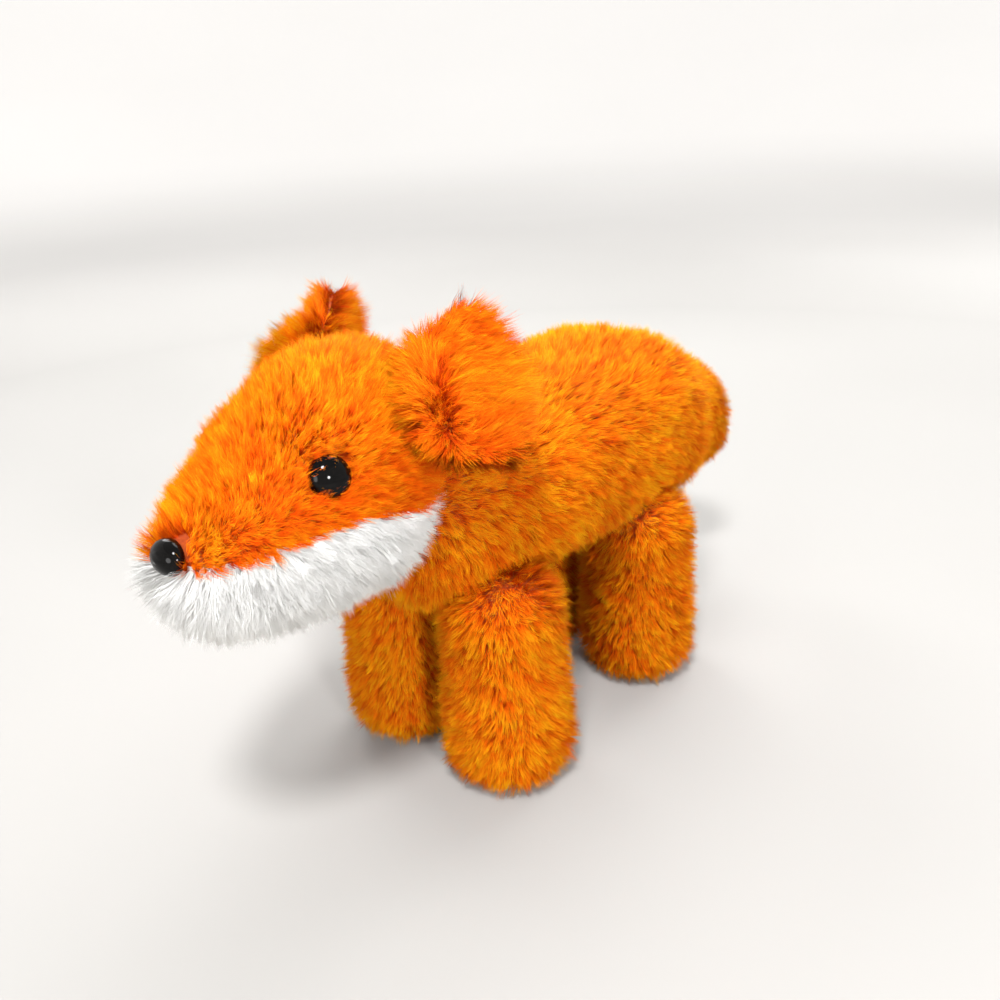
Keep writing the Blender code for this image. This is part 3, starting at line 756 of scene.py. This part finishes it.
def build_lights():
    world = bpy.data.worlds.new("studio")
    bpy.context.scene.world = world
    world.use_nodes = True
    sky = world.node_tree.nodes["Background"]
    sky.inputs["Color"].default_value = (1, 1, 1, 1)
    sky.inputs["Strength"].default_value = SKY_STRENGTH
    for name, place, size, power in LAMPS:
        data = bpy.data.lights.new(name, "AREA")
        data.shape = "DISK"
        data.size = size
        data.energy = power
        lamp = bpy.data.objects.new(name, data)
        bpy.context.scene.collection.objects.link(lamp)
        lamp.location = place
        lamp.rotation_euler = (LAMP_AIM - Vector(place)).to_track_quat("-Z", "Y").to_euler()


def floor_material():
    """pale floor, lighter to the camera than to bounced light, that glows far from the fox"""
    material, tree, shader = new_material("pale floor")
    links = tree.links
    grain = tree.nodes.new("ShaderNodeTexNoise")
    grain.inputs["Scale"].default_value = FLOOR_GRAIN
    seen = ramp(tree, list(zip(FLOOR_LEVELS, FLOOR_SEEN)))
    bounced = ramp(tree, list(zip(FLOOR_LEVELS, FLOOR_BOUNCED)))
    links.new(grain.outputs["Fac"], seen.inputs[0])
    links.new(grain.outputs["Fac"], bounced.inputs[0])
    rays = tree.nodes.new("ShaderNodeLightPath")
    direct = operation(tree, "ShaderNodeMath", "MAXIMUM")
    links.new(rays.outputs["Is Camera Ray"], direct.inputs[0])
    links.new(rays.outputs["Is Glossy Ray"], direct.inputs[1])
    through = operation(tree, "ShaderNodeMath", "MAXIMUM")
    links.new(direct.outputs[0], through.inputs[0])
    links.new(rays.outputs["Is Transmission Ray"], through.inputs[1])
    colour = colour_mix(tree, through.outputs[0], bounced.outputs[0], seen.outputs[0])
    links.new(colour, shader.inputs["Base Color"])
    place = tree.nodes.new("ShaderNodeNewGeometry")
    reach = operation(tree, "ShaderNodeVectorMath", "LENGTH")
    links.new(place.outputs["Position"], reach.inputs[0])
    glow = map_range(tree, reach.outputs["Value"], *GLOW_REACH, 0, GLOW_STRENGTH)
    shown = operation(tree, "ShaderNodeMath", "MULTIPLY")
    links.new(glow, shown.inputs[0])
    links.new(through.outputs[0], shown.inputs[1])
    shader.inputs["Emission Color"].default_value = (*GLOW_COLOUR, 1)
    links.new(shown.outputs[0], shader.inputs["Emission Strength"])
    shader.inputs["Roughness"].default_value = FLOOR_ROUGHNESS
    return material


def build_stage():
    """pale floor that curves up into a backdrop on every side"""
    material = floor_material()
    points = [(0, 0, 0)]
    for radius, height in FLOOR_RINGS:
        for step in range(FLOOR_SEGMENTS):
            angle = 2 * math.pi * step / FLOOR_SEGMENTS
            points.append((radius * math.cos(angle), radius * math.sin(angle), height))
    faces = []
    for step in range(FLOOR_SEGMENTS):
        after = (step + 1) % FLOOR_SEGMENTS
        faces.append((0, 1 + step, 1 + after))
        for ring in range(len(FLOOR_RINGS) - 1):
            near = 1 + ring * FLOOR_SEGMENTS
            far = near + FLOOR_SEGMENTS
            faces.append((near + step, far + step, far + after, near + after))
    mesh = bpy.data.meshes.new("floor")
    mesh.from_pydata(points, [], faces)
    mesh.shade_smooth()
    new_object("floor", mesh, material)


# Coats


def grow_torso(torso, head_tree, orange):
    roots, normals = scatter(torso, TORSO_ROOTS)
    keep = np.linalg.norm(roots - TAIL_ROOT, axis=1) > TAIL_OPENING
    for hip in HIPS.values():
        keep &= np.linalg.norm(roots - hip, axis=1) > HIP_OPENING
    roots, normals = roots[keep], normals[keep]
    keep = depths(head_tree, roots + normals * PILE_DEPTH) > CLEAR_OF_HEAD
    roots, normals = roots[keep], normals[keep]
    flow = mirrored(TORSO_FLOW, roots)
    flow[:, 2] -= TORSO_DROP * np.clip(1 - normals[:, 2], 0, 1)
    grow("torso_fur", "torso", roots, normals, flow, LOOK, orange)


def build_studs(gloss):
    """eyes and nose, and the openings over them as centre, axis, half width and half height"""
    eyes = []
    for side, across in (("left", 1), ("right", -1)):
        place = np.array(EYE_PLACE) * (across, 1, 1)
        axis = np.array(EYE_AXIS) * (across, 1, 1)
        eyes.append((place, axis, *EYE_OPENING))
        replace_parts(stud(f"eye_{side}_dome", place, axis, EYE_SIZES, gloss), f"eye_{side}")
    nose = (np.array(NOSE_PLACE), np.array(NOSE_AXIS), *NOSE_OPENING)
    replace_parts(stud("nose_dome", nose[0], nose[1], NOSE_SIZES, gloss), "nose")
    return eyes, nose


def head_flow(roots, normals, pale, eyes, nose):
    """back over the skull, down on the jaw, outward at the nape, and in towards eyes and nose"""
    flow = mirrored(SKULL_FLOW, roots)
    flow[normals[:, 2] <= SKULL_TOP, 2] *= -1
    flow[pale] = mirrored(JAW_FLOW, roots[pale])
    behind = np.clip((normals[:, 1] - NAPE_START) / NAPE_WIDTH, 0, 1)[:, None]
    outward = roots - NECK
    outward[:, 1] = 0
    flow = flow * (1 - behind) + (unit(outward) + NAPE_FLOW) * behind
    turns = [(nose[0], *NOSE_TURN)] + [(eye[0], *EYE_TURN) for eye in eyes]
    for centre, reach, share in turns:
        towards = centre - roots
        near = np.exp(-(np.linalg.norm(towards, axis=1) / reach) ** 2) * share * ~pale
        near = near[:, None]
        flow = unit(flow) * (1 - near) + unit(towards) * near
    return flow


def grow_head(head, jaw_cad, skull_cad, gloss, orange, white):
    eyes, nose = build_studs(gloss)
    roots, normals = scatter(head, HEAD_ROOTS)
    keep = np.linalg.norm(roots - NECK, axis=1) > NECK_OPENING
    keep &= distances(tree_of(NODES["neck_wad"]), roots + normals * PILE_DEPTH) > CLEAR_OF_WAD
    roots, normals = roots[keep], normals[keep]
    tips = roots + normals * PILE_DEPTH
    pale = distances(jaw_cad, tips) < distances(skull_cad, tips) + JAW_RISE
    skull = ~pale
    flow = head_flow(roots, normals, pale, eyes, nose)
    near_nose = np.exp(-(np.linalg.norm(tips - nose[0], axis=1) / MUZZLE_REACH) ** 2)
    longer = 1 + MUZZLE_LENGTH * near_nose
    # painted shade on the skull's sides and underside, darker the further they face down
    shade = SKULL_PAINTED_SHADE * np.clip(SKULL_PAINTED_SHADE_FROM - normals[:, 2], 0, 1)
    # painted light round the nose lifts the shade that falls among its strands there
    tone_shift = MUZZLE_PAINTED_LIGHT * near_nose - SKULL_TONE - shade
    grow("head_fur", "head", roots[skull], normals[skull], flow[skull], LOOK, orange,
         longer[skull], tone_shift[skull], [*eyes, nose])
    grow("jaw_fur", "head", roots[pale], normals[pale], flow[pale], JAW_LOOK, white,
         longer[pale], avoid=[nose])


def clear_roots(thing, count, torso_tree):
    """roots whose pile stays clear of the torso's bag, and the normals there"""
    roots, normals = scatter(thing, count)
    keep = depths(torso_tree, roots + normals * PILE_DEPTH) > CLEAR_OF_TORSO
    return roots[keep], normals[keep]


def grow_leg(body, leg, torso_tree, orange):
    roots, normals = clear_roots(leg, LEG_ROOTS, torso_tree)
    flow = np.tile(LEG_FLOW, (len(roots), 1))
    grow(f"{body}_fur", body, roots, normals, flow, LOOK, orange)


def grow_tail(tail, torso_tree, orange):
    roots, normals = clear_roots(tail, TAIL_ROOTS, torso_tree)
    bend = np.clip((roots[:, 1] - TAIL_ROOT[1]) / TAIL_TURN, 0, 1)
    flow = np.stack([np.zeros(len(roots)), 1 - bend, -TAIL_DROP - bend], axis=1)
    grow("tail_fur", "tail", roots, normals, flow, LOOK, orange)


def grow_ear(side, ear, orange):
    """an ear's coat, longer in its hollow and painted lighter there against the shade in it, which
    is found from the roots' spread
    """
    hinge = np.array(JOINTS[f"ear_{side}_fold"]["pos_m"])
    roots, normals = scatter(ear, EAR_ROOTS)
    along = unit((roots.mean(axis=0) - hinge)[None])
    share = np.clip((roots - hinge) @ along[0] / EAR_LENGTH, 0, 1)
    parting = np.clip((share - EAR_PARTING) / EAR_PARTING_WIDTH, -1, 1)[:, None]
    flow = along * parting + (roots - hinge) * EAR_FAN
    spread = roots - roots.mean(axis=0)
    across, cup = np.linalg.svd(spread, full_matrices=False)[2][[0, 2]]
    cup = cup * np.sign(np.sum((spread @ across) ** 2 * (spread @ cup)))
    hollow = np.clip(1 - np.abs(spread @ across) / HOLLOW_WIDTH, 0, 1)
    hollow = hollow * (normals @ cup > HOLLOW_FACING)
    longer = 1 + EAR_TIP_LENGTH * share + HOLLOW_LENGTH * hollow
    # painted light in the hollow lifts the shade that falls in the ear's cup
    # the right ear's smaller share of tone taken is painted light, so it shows lighter than the
    # left
    tone_shift = HOLLOW_PAINTED_LIGHT * hollow - EAR_TONES_WITH_PAINTED_LIGHT[side]
    grow(f"ear_{side}_fur", f"ear_{side}", roots, normals, flow, EAR_LOOK, orange,
         longer, tone_shift)


# Fox


def main():
    build_camera()
    build_lights()
    build_stage()

    orange = fur_material("orange pile", ORANGE_DULL, ORANGE_BRIGHT, ORANGE_SHINE)
    white = fur_material("white pile", WHITE_DULL, WHITE_BRIGHT, WHITE_SHINE)
    orange_cloth = cloth_material("orange backing", ORANGE_CLOTH)
    white_cloth = cloth_material("white backing", WHITE_CLOTH)
    filling = cloth_material("fibre filling", FIBRE)
    gloss = plastic_material("black gloss")

    washers = ["eye_left_washer", "eye_right_washer", "nose_washer"]
    torso = bag("torso_bag", "torso", ["torso_stuffing"], orange_cloth)
    head = bag("head_bag", "head", ["head_stuffing", *washers], orange_cloth)
    tail = bag("tail_bag", "tail", ["tail_stuffing"], orange_cloth)
    legs = {
        body: bag(f"{body}_bag", body, [f"{body}_stuffing"], orange_cloth)
        for body in HIPS
    }
    ears = {
        side: bag(
            f"ear_{side}_bag", f"ear_{side}", [f"ear_{side}_front", f"ear_{side}_back"],
            orange_cloth, EAR_BAG_INSET,
        )
        for side in ("left", "right")
    }
    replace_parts(torso, "torso_skin")
    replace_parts(head, "head_skin", "jaw_panel")
    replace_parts(tail, "tail_skin")
    for body, leg in legs.items():
        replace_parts(leg, f"{body}_skin")
    NODES["neck_wad"].material_slots[0].material = filling

    torso_tree = tree_of(torso)
    head_tree = tree_of(head)
    jaw_cad = tree_of(NODES["jaw_panel"])
    skull_cad = tree_of(NODES["head_skin"])
    head.data.materials.append(white_cloth)
    for face in head.data.polygons:
        spot = face.center + face.normal * PILE_DEPTH
        if jaw_cad.find_nearest(spot)[3] < skull_cad.find_nearest(spot)[3] + JAW_RISE:
            face.material_index = 1

    grow_torso(torso, head_tree, orange)
    grow_head(head, jaw_cad, skull_cad, gloss, orange, white)
    for body, leg in legs.items():
        grow_leg(body, leg, torso_tree, orange)
    grow_tail(tail, torso_tree, orange)
    for side, ear in ears.items():
        grow_ear(side, ear, orange)

    bpy.context.scene.view_settings.view_transform = "Standard"


main()
